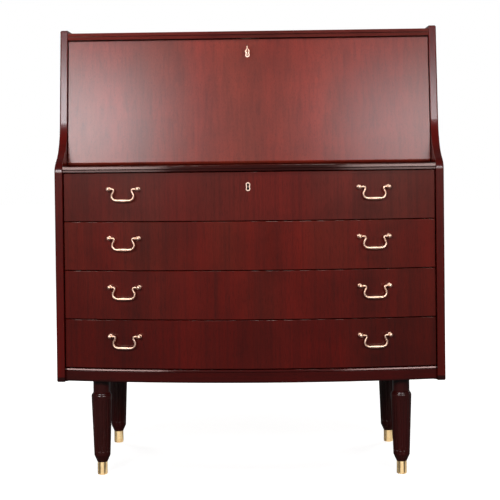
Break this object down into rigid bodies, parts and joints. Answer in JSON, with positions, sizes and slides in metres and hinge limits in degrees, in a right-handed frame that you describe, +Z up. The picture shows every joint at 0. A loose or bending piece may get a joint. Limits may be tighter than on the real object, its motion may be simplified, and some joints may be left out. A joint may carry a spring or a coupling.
{
  "type": "secretary desk",
  "caption": "Mahogany secretary desk: sloping fall-front writing flap over bow-front drawers with brass swan-neck bails, on turned legs with brass ferrules.",
  "frame": {"origin": "on the floor under the middle of the desk", "axes": "+X to the right as seen from the front, +Y from the front to the back, +Z up"},
  "size_m": [0.92, 0.4485, 1.075],
  "materials": {
    "mahogany": "satin lacquer, vertical grain",
    "light_wood": "clear matt varnish",
    "plywood": "clear matt varnish",
    "brass": "polished and lacquered",
    "steel": "nickel plated"
  },
  "bodies": {
    "carcase": {"left_side_panel": "mahogany", "right_side_panel": "mahogany", "top_board": "mahogany", "desk_shelf": "mahogany", "base_board": "mahogany", "back_panel": "plywood", "left_drawer_runners": "light_wood", "right_drawer_runners": "light_wood", "writing_bed": "mahogany", "pigeonhole_shelf": "light_wood", "pigeonhole_dividers": "light_wood", "flap_bushes": "brass", "flap_stop": "light_wood", "strike_plates": "brass", "front_left_leg": "mahogany", "front_right_leg": "mahogany", "rear_left_leg": "mahogany", "rear_right_leg": "mahogany", "ferrules": "brass"},
    "flap": {"fall_flap": "mahogany", "flap_pivot_pins": "brass", "fall_lock_case": "steel", "fall_escutcheon": "brass"},
    "key": {"key": "brass"},
    "fall_bolt": {"fall_lock_bolt": "steel"},
    "drawer_bolt": {"drawer_lock_bolt": "steel"},
    "drawer_1": {"drawer_1_front": "mahogany", "drawer_1_sides": "light_wood", "drawer_1_back": "light_wood", "drawer_1_bottom": "plywood", "drawer_1_handle_posts": "brass", "drawer_1_handle_nuts": "steel", "drawer_lock_case": "steel", "drawer_escutcheon": "brass"},
    "drawer_1_left_bail": {"drawer_1_left_bail": "brass"},
    "drawer_1_right_bail": {"drawer_1_right_bail": "brass"},
    "drawer_2": {"drawer_2_front": "mahogany", "drawer_2_sides": "light_wood", "drawer_2_back": "light_wood", "drawer_2_bottom": "plywood", "drawer_2_handle_posts": "brass", "drawer_2_handle_nuts": "steel"},
    "drawer_2_left_bail": {"drawer_2_left_bail": "brass"},
    "drawer_2_right_bail": {"drawer_2_right_bail": "brass"},
    "drawer_3": {"drawer_3_front": "mahogany", "drawer_3_sides": "light_wood", "drawer_3_back": "light_wood", "drawer_3_bottom": "plywood", "drawer_3_handle_posts": "brass", "drawer_3_handle_nuts": "steel"},
    "drawer_3_left_bail": {"drawer_3_left_bail": "brass"},
    "drawer_3_right_bail": {"drawer_3_right_bail": "brass"},
    "drawer_4": {"drawer_4_front": "mahogany", "drawer_4_sides": "light_wood", "drawer_4_back": "light_wood", "drawer_4_bottom": "plywood", "drawer_4_handle_posts": "brass", "drawer_4_handle_nuts": "steel"},
    "drawer_4_left_bail": {"drawer_4_left_bail": "brass"},
    "drawer_4_right_bail": {"drawer_4_right_bail": "brass"}
  },
  "joints": [
    {"name": "flap_fall", "type": "hinge", "parent": "carcase", "child": "flap", "pos_m": [0, -0.09543, 0.7512], "axis": [1, 0, 0], "range_deg": [0, 96.7]},
    {"name": "key_turn", "type": "hinge", "parent": "flap", "child": "key", "pos_m": [0, -0.07264, 1.01811], "axis": [0, 0.9932, -0.1167], "range_deg": [0, 90]},
    {"name": "fall_bolt_slide", "type": "slide", "parent": "flap", "child": "fall_bolt", "axis": [0, 0.1167, 0.9932], "range_m": [0, 0.008]},
    {"name": "drawer_bolt_slide", "type": "slide", "parent": "drawer_1", "child": "drawer_bolt", "axis": [0, 0, 1], "range_m": [0, 0.008]},
    {"name": "drawer_1_slide", "type": "slide", "parent": "carcase", "child": "drawer_1", "axis": [0, -1, 0], "range_m": [0, 0.28]},
    {"name": "drawer_1_left_bail_swing", "type": "hinge", "parent": "drawer_1", "child": "drawer_1_left_bail", "pos_m": [-0.29508, -0.21252, 0.6877], "axis": [-0.9921, 0.1253, 0], "range_deg": [-15, 120]},
    {"name": "drawer_1_right_bail_swing", "type": "hinge", "parent": "drawer_1", "child": "drawer_1_right_bail", "pos_m": [0.29508, -0.21252, 0.6877], "axis": [-0.9921, -0.1253, 0], "range_deg": [-15, 120]},
    {"name": "drawer_2_slide", "type": "slide", "parent": "carcase", "child": "drawer_2", "axis": [0, -1, 0], "range_m": [0, 0.28]},
    {"name": "drawer_2_left_bail_swing", "type": "hinge", "parent": "drawer_2", "child": "drawer_2_left_bail", "pos_m": [-0.29508, -0.21252, 0.572], "axis": [-0.9921, 0.1253, 0], "range_deg": [-15, 120]},
    {"name": "drawer_2_right_bail_swing", "type": "hinge", "parent": "drawer_2", "child": "drawer_2_right_bail", "pos_m": [0.29508, -0.21252, 0.572], "axis": [-0.9921, -0.1253, 0], "range_deg": [-15, 120]},
    {"name": "drawer_3_slide", "type": "slide", "parent": "carcase", "child": "drawer_3", "axis": [0, -1, 0], "range_m": [0, 0.28]},
    {"name": "drawer_3_left_bail_swing", "type": "hinge", "parent": "drawer_3", "child": "drawer_3_left_bail", "pos_m": [-0.29508, -0.21252, 0.4563], "axis": [-0.9921, 0.1253, 0], "range_deg": [-15, 120]},
    {"name": "drawer_3_right_bail_swing", "type": "hinge", "parent": "drawer_3", "child": "drawer_3_right_bail", "pos_m": [0.29508, -0.21252, 0.4563], "axis": [-0.9921, -0.1253, 0], "range_deg": [-15, 120]},
    {"name": "drawer_4_slide", "type": "slide", "parent": "carcase", "child": "drawer_4", "axis": [0, -1, 0], "range_m": [0, 0.28]},
    {"name": "drawer_4_left_bail_swing", "type": "hinge", "parent": "drawer_4", "child": "drawer_4_left_bail", "pos_m": [-0.29508, -0.21252, 0.3406], "axis": [-0.9921, 0.1253, 0], "range_deg": [-15, 120]},
    {"name": "drawer_4_right_bail_swing", "type": "hinge", "parent": "drawer_4", "child": "drawer_4_right_bail", "pos_m": [0.29508, -0.21252, 0.3406], "axis": [-0.9921, -0.1253, 0], "range_deg": [-15, 120]}
  ],
  "couplings": [
    {"joint": "key_turn", "follows": "fall_bolt_slide", "rad_per_m": 196.35}
  ]
}
